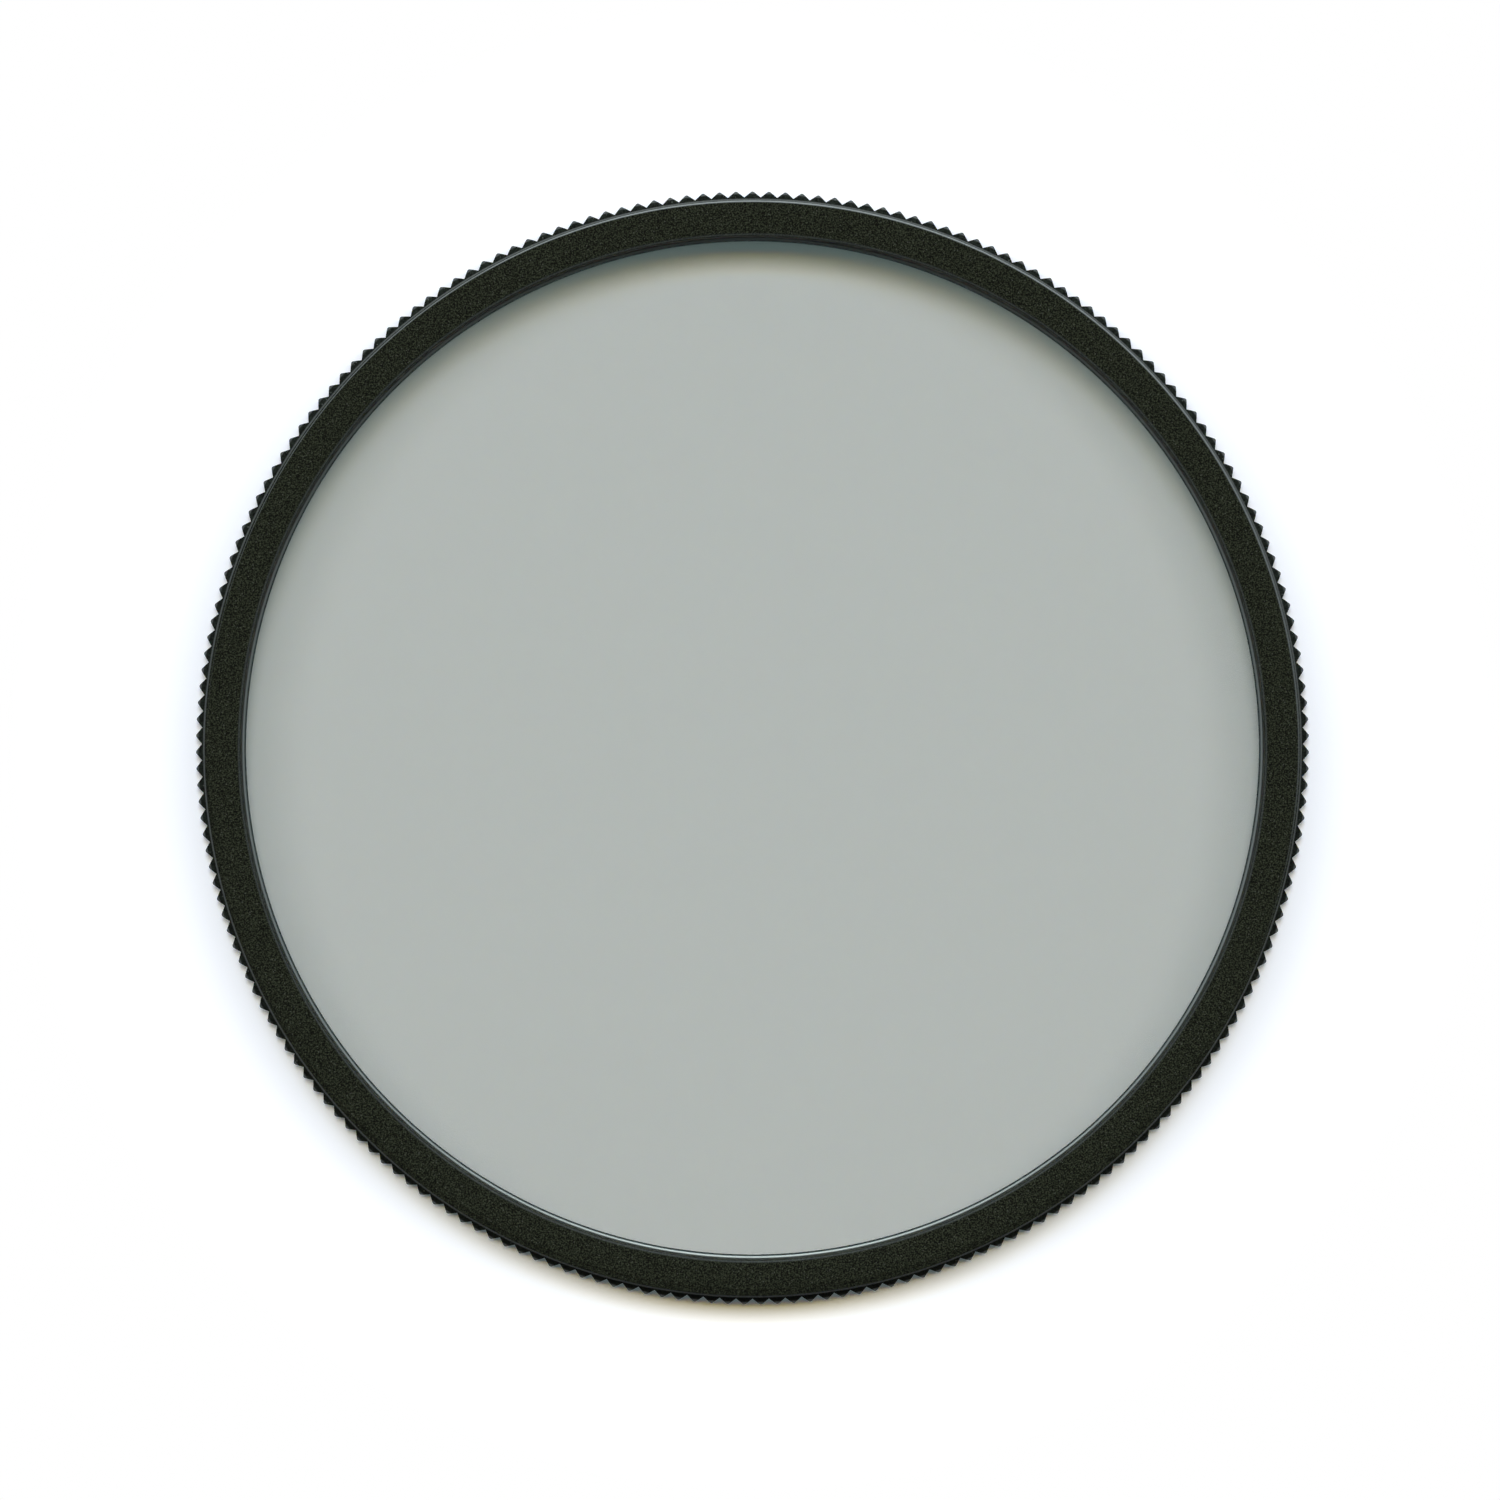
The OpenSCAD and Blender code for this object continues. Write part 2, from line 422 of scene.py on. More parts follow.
def anodisedFinish(name, look):
    # black anodised aluminium: blasted grain, lathe rings, and edges that have gone grey; the
    # pale edges are partly a painted highlight on the chamfers
    material, tree, output, place = newMaterial(name)
    shader = addNode(
        tree, "ShaderNodeBsdfPrincipled",
        {"Specular IOR Level": look["specular"], "IOR": 1.5},
    )
    grainAndSparkle = placeGroup(tree, blastedGrainAndSparkle, {
        "Base": look["color"], "Speck": look["speck"], "Grain Size": look["grainSize"],
        "Contrast": look["contrast"], "Speck Share": look["speckShare"],
    })
    marks = placeGroup(tree, turningMarks, {"Spacing": look["markSpacing"]})
    dust = placeGroup(tree, looseDust, {
        "Cell": dustLook["cell"], "Size": dustLook["size"], "Share": look["dust"],
    })
    for made in (grainAndSparkle, marks, dust):
        link(tree, place, made.inputs["Vector"])
    wearAndHighlight = None
    for radius, height, reach, strength in look["wearAndHighlightRims"]:
        band = placeGroup(tree, rimBand, {
            "Radius": radius * mm, "Height": height * mm, "Reach": reach * mm,
        })
        link(tree, place, band.inputs["Vector"])
        share = addNode(tree, "ShaderNodeMath", {1: strength}, operation="MULTIPLY")
        link(tree, band.outputs[0], share.inputs[0])
        if wearAndHighlight is None:
            wearAndHighlight = share.outputs[0]
        else:
            most = addNode(tree, "ShaderNodeMath", operation="MAXIMUM")
            link(tree, wearAndHighlight, most.inputs[0])
            link(tree, share.outputs[0], most.inputs[1])
            wearAndHighlight = most.outputs[0]
    # pale worn edges, which also paint highlight lines on the chamfers
    color = mixColors(tree, wearAndHighlight, grainAndSparkle.outputs["Color"], look["wearAndHighlightColor"])
    color = mixColors(tree, dust.outputs[0], color, dustLook["color"])
    link(tree, color, shader.inputs["Base Color"])
    link(tree, wearAndHighlight, shader.inputs["Metallic"])
    roughness = addNode(
        tree, "ShaderNodeMapRange",
        {"To Min": look["roughness"], "To Max": look["wornRoughness"]},
    )
    link(tree, wearAndHighlight, roughness.inputs["Value"])
    link(tree, roughness.outputs[0], shader.inputs["Roughness"])
    relief = addNode(tree, "ShaderNodeMix", {0: look["markShare"]}, data_type="FLOAT")
    link(tree, grainAndSparkle.outputs["Height"], relief.inputs[2])
    link(tree, marks.outputs["Height"], relief.inputs[3])
    bump = addNode(
        tree, "ShaderNodeBump", {"Strength": look["bump"], "Distance": look["bumpDepth"]}
    )
    link(tree, relief.outputs[0], bump.inputs["Height"])
    link(tree, bump.outputs[0], shader.inputs["Normal"])
    link(tree, shader.outputs[0], output.inputs["Surface"])
    return material


# mount ring: lens thread, seat and skirt
mountRing = {
    "boreR": 36.0,
    "topZ": highest("mount_ring").z,
    "skirtZ": lowest("mount_ring").z,
    "seatR": highest("mount_ring").x,
    "seatZ": mountPlace("lens_seat")["pos_m"][2] / mm,
    "roofZ": 4.81,
    "seatChamfer": 0.16,
    "crestGap": 0.02,
    "reliefR": 38.04,
    "reliefW": 0.65,
    "reliefRise": 0.12,
    "threadChamfer": 0.12,
    "boreChamfer": 0.18,
    "softEdge": 0.06,  # rounding of the edges round the end face
    "threadDepth": 0.45,
    "grooveMouth": 0.656,  # width of the thread's groove at its crests
    "grooveLead": 0.35,  # the groove starts this far below the relief's upper end
    "cutOvershoot": 0.06,
}
mountLook = {
    "color": (0.0124, 0.0146, 0.0088, 1),
    # colour of the painted sparkle specks
    "speck": (0.065, 0.07, 0.055, 1),
    "grainSize": 0.00011,
    "contrast": 2.5,
    "speckShare": 0.05,
    "markSpacing": 0.00009,
    "markShare": 0.35,
    "dust": 0.003,
    "specular": 0.06,
    "roughness": 0.6,
    "wearAndHighlightColor": (0.30, 0.34, 0.34, 1),
    "wornRoughness": 0.3,
    "bump": 0.35,
    "bumpDepth": 0.00002,
    "wearAndHighlightRims": [  # radius, height and reach of each, and how worn and painted bright it is
        (38.44, 7.55, 0.14, 0.6),  # crest end of the thread
        (36.09, 7.52, 0.16, 0.12),  # mouth of the bore
        (38.68, 4.93, 0.14, 0.25),  # seat
    ],
}


def mountSection(m):
    c = fits["brokenEdge"]
    thread, skirt = fits["threadR"], fits["skirtBoreR"]
    groove = fits["wireR"] + fits["grooveReach"]
    grooveLow = fits["wireZ"] - fits["grooveReach"]
    grooveHigh = fits["wireZ"] + fits["grooveReach"]
    return [
        (m["boreR"], m["roofZ"]),
        (skirt, m["roofZ"]),
        (skirt, grooveHigh),
        (groove, grooveHigh),
        (groove, grooveLow),
        (skirt, grooveLow),
        (skirt, m["skirtZ"] + c),
        (skirt + c, m["skirtZ"]),
        (m["seatR"] - c, m["skirtZ"]),
        (m["seatR"], m["skirtZ"] + c),
        (m["seatR"], m["seatZ"] - m["seatChamfer"]),
        (m["seatR"] - m["seatChamfer"], m["seatZ"]),
        (thread + m["crestGap"], m["seatZ"]),
        (m["reliefR"], m["seatZ"] + m["reliefRise"]),
        (m["reliefR"], m["seatZ"] + m["reliefW"] - (thread - m["reliefR"]) / 2),
        (thread, m["seatZ"] + m["reliefW"]),
        (thread, m["topZ"] - m["threadChamfer"]),
        (thread - m["threadChamfer"], m["topZ"]),
        (m["boreR"] + m["boreChamfer"], m["topZ"]),
        (m["boreR"], m["topZ"] - m["boreChamfer"]),
    ]


def makeMountRing(m):
    # the section's corners on the seat and round the end face
    soft = {i: m["softEdge"] for i in (11, 16, 17, 18, 19)}
    ring = meshObject("mountRing", turned(mountSection(m), soft=soft))
    crest = m["grooveMouth"] / 2
    root = crest - m["threadDepth"] * fits["flankSlope"]
    outer = crest + m["cutOvershoot"] * fits["flankSlope"]
    profile = [
        (fits["threadR"] - m["threadDepth"], -root),
        (fits["threadR"] + m["cutOvershoot"], -outer),
        (fits["threadR"] + m["cutOvershoot"], outer),
        (fits["threadR"] - m["threadDepth"], root),
    ]
    startZ = m["seatZ"] + m["reliefW"] - m["grooveLead"]
    turns = (m["topZ"] + fits["pitch"] - startZ) / fits["pitch"]
    cutAway(ring, helixCutter(profile, startZ, turns))
    return ring


mount = makeMountRing(mountRing)
finishPiece(mount, anodisedFinish("anodisedMount", mountLook), "mount_ring")


# rotating ring: knurled grip, front thread, glass pocket and seat lip
rotatingRing = {
    "teeth": 211,
    "tipR": highest("rotating_ring").y,
    "rootR": 38.97,
    "blankR": 38.80,  # the teeth are set on a plain blank of this radius
    "tipFlat": 0.12,
    "tipRound": 0.08,
    "knurlChamfer": 0.22,
    "rimRound": 0.03,  # softening of the edges round each tooth's chamfers
    "gripH": 2.05,
    "frontR": mountPlace("front_thread")["dims"]["r_mm"],
    "frontDepth": 1.45,
    "retainerPocketR": 36.95,
    "packZ": 2.25,
    "pocketR": 36.70,
    "lipZ": 4.33,
    "lipR": 35.80,
    "lipBevel": 0.18,
    "lipSoft": 0.1,  # rounding of the bevel's two corners
    "hubZ": highest("rotating_ring").z,
    "threadDepth": 0.4,
    "grooveMouth": 0.5625,
    "grooveFrom": -0.5,  # height at which the groove starts, outside the ring
    "grooveTurns": 2.1,
    "cutOvershoot": 0.07,
    "rootReach": 0.01,  # teeth faces no further out than this from the blank are left out
    "weldReach": 1e-3,
    "cutReach": 1e-5,
    "sameAngle": 1e-5,
    "flatAngle": 1e-4,
}
gripLook = {
    "color": (0.0098, 0.0128, 0.0098, 1),
    # colour of the painted sparkle specks
    "speck": (0.08, 0.09, 0.08, 1),
    "grainSize": 0.00015,
    "contrast": 1.2,
    "speckShare": 0.03,
    "markSpacing": 0.00008,
    "markShare": 0.25,
    "dust": 0.003,
    "specular": 0.09,
    "roughness": 0.5,
    "wearAndHighlightColor": (0.30, 0.34, 0.33, 1),
    "wornRoughness": 0.3,
    "bump": 0.3,
    "bumpDepth": 0.00002,
    # edges worn pale, which partly paints highlights on them: radius, height and reach of each,
    # and how worn it is
    "wearAndHighlightRims": [
        (35.89, 4.64, 0.2, 0.8),  # seat lip
        (39.34, 1.96, 0.18, 0.3),  # chamfered tips of the teeth
        (39.34, 0.09, 0.18, 0.2),
    ],
}


def rotatingSection(r):
    c = fits["brokenEdge"]
    hub = fits["hubR"]
    groove = fits["wireR"] - fits["grooveReach"]
    grooveLow = fits["wireZ"] - fits["grooveReach"]
    grooveHigh = fits["wireZ"] + fits["grooveReach"]
    return [
        (r["blankR"], 0),
        (fits["threadR"], 0),
        (r["frontR"], fits["threadR"] - r["frontR"]),
        (r["frontR"], r["frontDepth"]),
        (r["retainerPocketR"], r["frontDepth"]),
        (r["retainerPocketR"], r["packZ"]),
        (r["pocketR"], r["packZ"]),
        (r["pocketR"], r["lipZ"]),
        (r["lipR"], r["lipZ"]),
        (r["lipR"], r["hubZ"] - r["lipBevel"]),
        (r["lipR"] + r["lipBevel"], r["hubZ"]),
        (hub - c, r["hubZ"]),
        (hub, r["hubZ"] - c),
        (hub, grooveHigh),
        (groove, grooveHigh),
        (groove, grooveLow),
        (hub, grooveLow),
        (hub, r["gripH"]),
        (r["blankR"], r["gripH"]),
    ]


def knurlTooth(r):
    # one tooth as a prism, with a rounded tip and both rims chamfered
    bm = bmesh.new()
    half = math.pi / r["teeth"]
    flatHalf = math.asin(r["tipFlat"] / 2 / r["tipR"])
    outline = [
        (r["blankR"], 0), (r["blankR"], -half), (r["rootR"], -half), (r["tipR"], -flatHalf),
        (r["tipR"], flatHalf), (r["rootR"], half), (r["blankR"], half),
    ]
    corners = [bm.verts.new(polar(radius, angle)) for radius, angle in outline]
    foot = bm.faces.new(corners)
    bmesh.ops.bevel(
        bm, geom=corners[3:5], offset=r["tipRound"], offset_type="OFFSET", segments=2,
        profile=0.5, affect="VERTICES", clamp_overlap=True, material=-1,
    )
    raised = bmesh.ops.extrude_face_region(bm, geom=bm.faces[:], use_keep_orig=True)["geom"]
    bmesh.ops.translate(
        bm, verts=[g for g in raised if isinstance(g, bmesh.types.BMVert)],
        vec=(0, 0, r["gripH"]),
    )
    for height, rise in ((0, -1), (r["gripH"], 1)):
        cut = bmesh.ops.bisect_plane(
            bm, geom=bm.verts[:] + bm.edges[:] + bm.faces[:], dist=r["cutReach"],
            plane_co=(r["tipR"] - r["knurlChamfer"], 0, height), plane_no=(1, 0, rise),
            clear_outer=True, clear_inner=False,
        )["geom_cut"]
        rim = [g for g in cut if isinstance(g, bmesh.types.BMEdge)]
        bmesh.ops.edgeloop_fill(bm, edges=rim)
        bmesh.ops.bevel(
            bm, geom=rim, offset=r["rimRound"], offset_type="OFFSET", segments=1,
            profile=0.5, affect="EDGES", clamp_overlap=True, material=-1,
        )
    limit = r["blankR"] + r["rootReach"]

    def againstNeighbour(face):
        angles = [math.atan2(v.co.y, v.co.x) for v in face.verts]
        radii = [v.co.xy.length for v in face.verts]
        onSide = all(abs(abs(a) - half) < r["sameAngle"] for a in angles)
        flat = max(angles) - min(angles) < r["flatAngle"]
        return max(radii) < limit or (onSide and flat)

    bmesh.ops.delete(bm, geom=[f for f in bm.faces if againstNeighbour(f)], context="FACES")
    bmesh.ops.rotate(
        bm, verts=bm.verts[:], cent=(0, 0, 0), matrix=Matrix.Rotation(math.pi / 2, 3, "Z")
    )
    return bm


def makeRotatingRing(r):
    knurl = knurlTooth(r)
    last = r["teeth"] - 1
    bmesh.ops.spin(
        knurl, geom=knurl.verts[:] + knurl.edges[:] + knurl.faces[:], cent=(0, 0, 0),
        axis=(0, 0, 1), dvec=(0, 0, 0), angle=fullTurn * last / r["teeth"], steps=last,
        use_merge=False, use_normal_flip=False, use_duplicate=True,
    )
    teeth = bpy.data.meshes.new("teeth")
    knurl.to_mesh(teeth)
    knurl.free()
    section = rotatingSection(r)
    soft = {9: r["lipSoft"], 10: r["lipSoft"]}  # the corners of the lip's bevel
    body = turned(section, closed=False, keepSharp=(0, len(section) - 1), soft=soft)
    body.from_mesh(teeth)
    bpy.data.meshes.remove(teeth)
    bmesh.ops.remove_doubles(body, verts=body.verts[:], dist=r["weldReach"])
    openEdges = sum(1 for e in body.edges if not e.is_manifold)
    print("rotating ring's open edges:", openEdges)
    ring = meshObject("rotatingRing", body)
    crest = r["grooveMouth"] / 2
    root = crest - r["threadDepth"] * fits["flankSlope"]
    inner = crest + r["cutOvershoot"] * fits["flankSlope"]
    profile = [
        (r["frontR"] - r["cutOvershoot"], -inner),
        (r["frontR"] + r["threadDepth"], -root),
        (r["frontR"] + r["threadDepth"], root),
        (r["frontR"] - r["cutOvershoot"], inner),
    ]
    cutAway(ring, helixCutter(profile, r["grooveFrom"], r["grooveTurns"]))
    return ring


grip = makeRotatingRing(rotatingRing)
finishPiece(grip, anodisedFinish("anodisedGrip", gripLook), "rotating_ring")


# retaining ring with its spanner slots
retainingRing = {
    "frontZ": lowest("retaining_ring").z,
    "backZ": highest("retaining_ring").z,
    "outerR": highest("retaining_ring").x,
    "width": 1.05,
    "bevel": 0.2,
    "slots": 4,
    "slotW": 1.2,
    "slotDepth": 0.4,
    "cutterReach": 3,  # a slot's cutter is this many ring widths long
}
retainerLook = dict(
    mountLook,
    color=(0.013, 0.0145, 0.0125, 1),
    wearAndHighlightRims=[(36.0, 1.5, 0.15, 0.2)],  # bevel at the front of its bore, worn pale, partly a painted highlight
)


def makeRetainingRing(r):
    inner = r["outerR"] - r["width"]
    ring = meshObject("retainingRing", turned([
        (inner + r["bevel"], r["frontZ"]),
        (r["outerR"], r["frontZ"]),
        (r["outerR"], r["backZ"]),
        (inner, r["backZ"]),
        (inner, r["frontZ"] + r["bevel"]),
    ]))
    slots = bmesh.new()
    for i in range(r["slots"]):
        block = bmesh.ops.create_cube(slots, size=1)["verts"]
        bmesh.ops.scale(
            slots, verts=block,
            vec=(r["cutterReach"] * r["width"], r["slotW"], 2 * r["slotDepth"]),
        )
        bmesh.ops.translate(
            slots, verts=block, vec=(r["outerR"] - r["width"] / 2, 0, r["frontZ"])
        )
        bmesh.ops.rotate(
            slots, verts=block, cent=(0, 0, 0),
            matrix=Matrix.Rotation(i * fullTurn / r["slots"], 3, "Z"),
        )
    cutAway(ring, slots)
    return ring


retainer = makeRetainingRing(retainingRing)
finishPiece(
    retainer, anodisedFinish("anodisedRetainer", retainerLook),
    "retaining_ring",
)


# snap wire
snapWire = {
    "diameter": 0.5,
    "gapAngle": 9,
    "sides": 16,
    "steps": 240,
    "color": (0.55, 0.54, 0.52, 1),
    "darkColor": (0.42, 0.41, 0.39, 1),
    "roughness": (0.2, 0.4),
    "markSpacing": 0.00005,
    "bump": 0.3,
    "bumpDepth": 0.00001,
}


def makeSnapWire(w):
    bm = bmesh.new()
    bmesh.ops.create_circle(bm, cap_ends=True, radius=w["diameter"] / 2, segments=w["sides"])
    bmesh.ops.rotate(
        bm, verts=bm.verts[:], cent=(0, 0, 0), matrix=Matrix.Rotation(math.pi / 2, 3, "X")
    )
    bmesh.ops.translate(bm, verts=bm.verts[:], vec=(fits["wireR"], 0, fits["wireZ"]))
    bmesh.ops.rotate(
        bm, verts=bm.verts[:], cent=(0, 0, 0),
        matrix=Matrix.Rotation(math.radians(w["gapAngle"] / 2), 3, "Z"),
    )
    bmesh.ops.spin(
        bm, geom=bm.verts[:] + bm.edges[:] + bm.faces[:], cent=(0, 0, 0), axis=(0, 0, 1),
        dvec=(0, 0, 0), angle=math.radians(360 - w["gapAngle"]), steps=w["steps"],
        use_merge=False, use_normal_flip=False, use_duplicate=False,
    )
    return meshObject("snapWire", bm)


def springSteel(w):
    material, tree, output, place = newMaterial("springSteel")
    shader = addNode(tree, "ShaderNodeBsdfPrincipled", {"Metallic": 1.0})
    marks = placeGroup(tree, turningMarks, {"Spacing": w["markSpacing"]})
    link(tree, place, marks.inputs["Vector"])
    color = mixColors(tree, marks.outputs[0], w["darkColor"], w["color"])
    link(tree, color, shader.inputs["Base Color"])
    roughness = addNode(
        tree, "ShaderNodeMapRange",
        {"To Min": w["roughness"][0], "To Max": w["roughness"][1]},
    )
    link(tree, marks.outputs[0], roughness.inputs["Value"])
    link(tree, roughness.outputs[0], shader.inputs["Roughness"])
    bump = addNode(tree, "ShaderNodeBump", {"Strength": w["bump"], "Distance": w["bumpDepth"]})
    link(tree, marks.outputs[0], bump.inputs["Height"])
    link(tree, bump.outputs[0], shader.inputs["Normal"])
    link(tree, shader.outputs[0], output.inputs["Surface"])
    return material


wire = makeSnapWire(snapWire)
finishPiece(wire, springSteel(snapWire), "snap_wire")


# glasses and films
glassPack = {
    "bevel": 0.15,
    "ior": 1.6,
    "glassTint": (0.995, 0.993, 0.985, 1),
    "coatColor": (0.62, 1.0, 1.0, 1),
    "waveTint": (0.974, 0.971, 0.954, 1),
    "polarizerShade": 0.314,  # share of the light that the film takes
    "polarizerColor": (0.010, 0.011, 0.010, 1),
    "packZ": (lowest("front_glass").z, highest("rear_glass").z),
    "steps": 180,
    "coatRoughness": 0.02,
    "filmRoughness": 0.5,
    "streakScale": (40.0, 900.0, 40.0),
    "paleShare": 0.998,  # the streaks change a film's tint by this much
    "darkShare": 0.85,  # and the dye's colour by this much
}


def glassDisc(name, node, bevel):
    low, high = lowest(node), highest(node)
    radius = high.x
    points = [(0, low.z), (radius - bevel, low.z), (radius, low.z + bevel)]
    points += [(radius, high.z - bevel), (radius - bevel, high.z), (0, high.z)]
    if not bevel:
        points = [(0, low.z), (radius, low.z), (radius, high.z), (0, high.z)]
    return meshObject(
        name,
        turned(points, closed=False, keepSharp=range(len(points)), steps=glassPack["steps"]),
    )


def heightMask(tree, place, middle, reach):
    # 1 further than reach from a level, above it or below it
    parts = addNode(tree, "ShaderNodeSeparateXYZ")
    link(tree, place, parts.inputs[0])
    offset = addNode(tree, "ShaderNodeMath", {1: middle * mm}, operation="SUBTRACT")
    link(tree, parts.outputs[2], offset.inputs[0])
    distance = addNode(tree, "ShaderNodeMath", operation="ABSOLUTE")
    link(tree, offset.outputs[0], distance.inputs[0])
    outside = addNode(tree, "ShaderNodeMath", {1: reach * mm}, operation="GREATER_THAN")
    link(tree, distance.outputs[0], outside.inputs[0])
    return outside.outputs[0]


def coatedGlass(g):
    # the glass is clear, and shines only where it meets air: its other faces are cemented
    material, tree, output, place = newMaterial("coatedGlass")
    low, high = g["packZ"]
    inAir = heightMask(tree, place, (low + high) / 2, (high - low) / 2 - g["bevel"] / 2)
    shine = addNode(
        tree, "ShaderNodeBsdfPrincipled",
        {"Metallic": 1.0, "Base Color": g["coatColor"], "Roughness": g["coatRoughness"]},
    )
    through = addNode(tree, "ShaderNodeBsdfTransparent", {"Color": g["glassTint"]})
    mirror = addNode(tree, "ShaderNodeFresnel", {"IOR": g["ior"]})
    share = addNode(tree, "ShaderNodeMath", operation="MULTIPLY")
    link(tree, mirror.outputs[0], share.inputs[0])
    link(tree, inAir, share.inputs[1])
    surface = addNode(tree, "ShaderNodeMixShader")
    link(tree, share.outputs[0], surface.inputs[0])
    link(tree, through.outputs[0], surface.inputs[1])
    link(tree, shine.outputs[0], surface.inputs[2])
    link(tree, surface.outputs[0], output.inputs["Surface"])
    return material


def filmFinish(name, tint, shade, color, level):
    # a film takes a share of the light on its upper face, and tints the rest slightly
    material, tree, output, place = newMaterial(name)
    streaks = addNode(tree, "ShaderNodeMapping", {"Scale": glassPack["streakScale"]})
    link(tree, place, streaks.inputs["Vector"])
    noise = addNode(tree, "ShaderNodeTexNoise", {"Scale": 1.0, "Detail": 1.0})
    link(tree, streaks.outputs[0], noise.inputs["Vector"])
    paler = [c * glassPack["paleShare"] for c in tint[:3]] + [1]
    through = addNode(tree, "ShaderNodeBsdfTransparent")
    link(tree, mixColors(tree, noise.outputs[0], paler, tint), through.inputs["Color"])
    if not shade:
        link(tree, through.outputs[0], output.inputs["Surface"])
        return material
    darker = [c * glassPack["darkShare"] for c in color[:3]] + [1]
    dye = mixColors(tree, noise.outputs[0], darker, color)
    film = addNode(
        tree, "ShaderNodeBsdfPrincipled",
        {"Roughness": glassPack["filmRoughness"], "Specular IOR Level": 0.0},
    )
    link(tree, dye, film.inputs["Base Color"])
    parts = addNode(tree, "ShaderNodeSeparateXYZ")
    link(tree, place, parts.inputs[0])
    upper = addNode(tree, "ShaderNodeMath", {1: level * mm}, operation="GREATER_THAN")
    link(tree, parts.outputs[2], upper.inputs[0])
    taken = addNode(tree, "ShaderNodeMath", {1: shade}, operation="MULTIPLY")
    link(tree, upper.outputs[0], taken.inputs[0])
    surface = addNode(tree, "ShaderNodeMixShader")
    link(tree, taken.outputs[0], surface.inputs[0])
    link(tree, through.outputs[0], surface.inputs[1])
    link(tree, film.outputs[0], surface.inputs[2])
    link(tree, surface.outputs[0], output.inputs["Surface"])
    return material


glassFinish = coatedGlass(glassPack)
polarizingFinish = filmFinish(
    "polarizingSheet", (1, 1, 1, 1), glassPack["polarizerShade"], glassPack["polarizerColor"],
    (lowest("polarizing_film").z + highest("polarizing_film").z) / 2,
)
waveFinish = filmFinish("waveSheet", glassPack["waveTint"], 0, None, 0)
for name, node, finish, slotName, bevel, shades in (
    ("frontGlass", "front_glass", glassFinish, "coated_glass", glassPack["bevel"], False),
    ("polarizingFilm", "polarizing_film", polarizingFinish, "polarizing_sheet", 0, True),
    ("quarterWaveFilm", "quarter_wave_film", waveFinish, "wave_sheet", 0, True),
    ("rearGlass", "rear_glass", glassFinish, "coated_glass", glassPack["bevel"], False),
):
    disc = glassDisc(name, node, bevel)
    disc.visible_diffuse = False  # scattered light passes the discs as if they weren't there
    disc.visible_shadow = shades  # only the films hold the lamps' light back
    finishPiece(disc, finish, node)


# floor, lamps, world and camera
stageSet = {
    "floorSize": 12.0,
    "floorColor": (1.0, 1.0, 1.0, 1),
    "paintedFloorFill": (0.07, 0.09, 0.09, 1),  # painted fill light: the glow that the floor shows to the camera and in reflections, even in full shadow
    "litReach": (0.046, 0.053),  # the floor turns from lit to plain white between these radii
    "cameraAbove": 0.75,
    "cameraPlace": (-0.000176, -0.00014),
    "lens": 256.2,
    "sensor": 36,
    "clip": (0.01, 50),
    "keyHeight": 3.2,
    "keyStagger": 0.02,  # the second strip hangs this much lower
    "keyPlace": (0.644, 0.688, 0.773),  # how far back red, green and blue are centred
    "keyDepth": 0.68,
    "keyLevel": (0.94, 0.97, 1.06),
    "keyShares": (("keyWide", 3.84, 0.61), ("keyCore", 0.64, 0.39)),
    "ambient": (0.03, 0.035, 0.035),
    # brightness of the studio that polished surfaces show, from the near side to the far one
    "studio": ((0.0, 0.08), (0.3, 0.35), (0.5, 0.7), (0.8, 1.2), (1.0, 9.0)),
}


def makeFloor(s):
    bm = bmesh.new()
    bmesh.ops.create_grid(bm, x_segments=1, y_segments=1, size=s["floorSize"] / 2)
    mesh = bpy.data.meshes.new("floor")
    bm.to_mesh(mesh)
    bm.free()
    floor = bpy.data.objects.new("floor", mesh)
    scene.collection.objects.link(floor)
    material, tree, output, place = newMaterial("whitePaper")
    paper = addNode(tree, "ShaderNodeBsdfDiffuse", {"Color": s["floorColor"]})
    # painted fill light, which lifts the floor's shadows
    glow = addNode(tree, "ShaderNodeEmission", {"Color": s["paintedFloorFill"]})
    plain = addNode(tree, "ShaderNodeEmission", {"Strength": 1.0})
    distance = addNode(tree, "ShaderNodeVectorMath", operation="LENGTH")
    link(tree, place, distance.inputs[0])
    far = addNode(
        tree, "ShaderNodeMapRange",
        {"From Min": s["litReach"][0], "From Max": s["litReach"][1]},
        interpolation_type="SMOOTHSTEP",
    )
    link(tree, distance.outputs["Value"], far.inputs["Value"])
    rays = addNode(tree, "ShaderNodeLightPath")
    seen = addNode(tree, "ShaderNodeMath", operation="MAXIMUM")
    link(tree, rays.outputs["Is Camera Ray"], seen.inputs[0])
    link(tree, rays.outputs["Is Glossy Ray"], seen.inputs[1])
    link(tree, seen.outputs[0], glow.inputs["Strength"])
    white = addNode(tree, "ShaderNodeMath", operation="MULTIPLY")
    link(tree, seen.outputs[0], white.inputs[0])
    link(tree, far.outputs[0], white.inputs[1])
    near = addNode(tree, "ShaderNodeAddShader")
    link(tree, paper.outputs[0], near.inputs[0])
    link(tree, glow.outputs[0], near.inputs[1])
    top = addNode(tree, "ShaderNodeMixShader")
    link(tree, white.outputs[0], top.inputs[0])
    link(tree, near.outputs[0], top.inputs[1])
    link(tree, plain.outputs[0], top.inputs[2])
    sides = addNode(tree, "ShaderNodeNewGeometry")
    clear = addNode(tree, "ShaderNodeBsdfTransparent")
    surface = addNode(tree, "ShaderNodeMixShader")
    link(tree, sides.outputs["Backfacing"], surface.inputs[0])
    link(tree, top.outputs[0], surface.inputs[1])
    link(tree, clear.outputs[0], surface.inputs[2])
    link(tree, surface.outputs[0], output.inputs["Surface"])
    mesh.materials.append(material)


